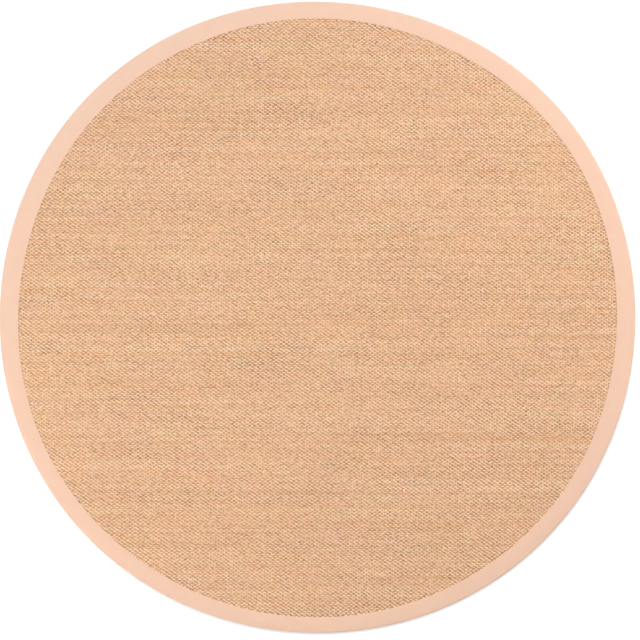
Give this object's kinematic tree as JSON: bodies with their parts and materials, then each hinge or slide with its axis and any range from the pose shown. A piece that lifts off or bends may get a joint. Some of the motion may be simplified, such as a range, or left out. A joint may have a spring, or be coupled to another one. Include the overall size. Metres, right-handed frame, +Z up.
{
  "type": "round sisal rug",
  "caption": "Flat round rug of plain-woven sisal, its raw edge bound all round with a folded cotton tape.",
  "frame": {"origin": "on the floor under the middle of the rug", "axes": "+Z up through the rug's thickness; +X along the face yarns, which run left to right in the picture; +Y towards the top of the picture"},
  "size_m": [1.6014, 1.59, 0.0084],
  "materials": {
    "sisal": "dull natural fibre in a coarse plain weave, golden straw brown",
    "binding_tape": "smooth matt cotton tape, pale peach cream"
  },
  "bodies": {
    "root": {"sisal_mat": "sisal", "edge_binding": "binding_tape"}
  },
  "joints": []
}
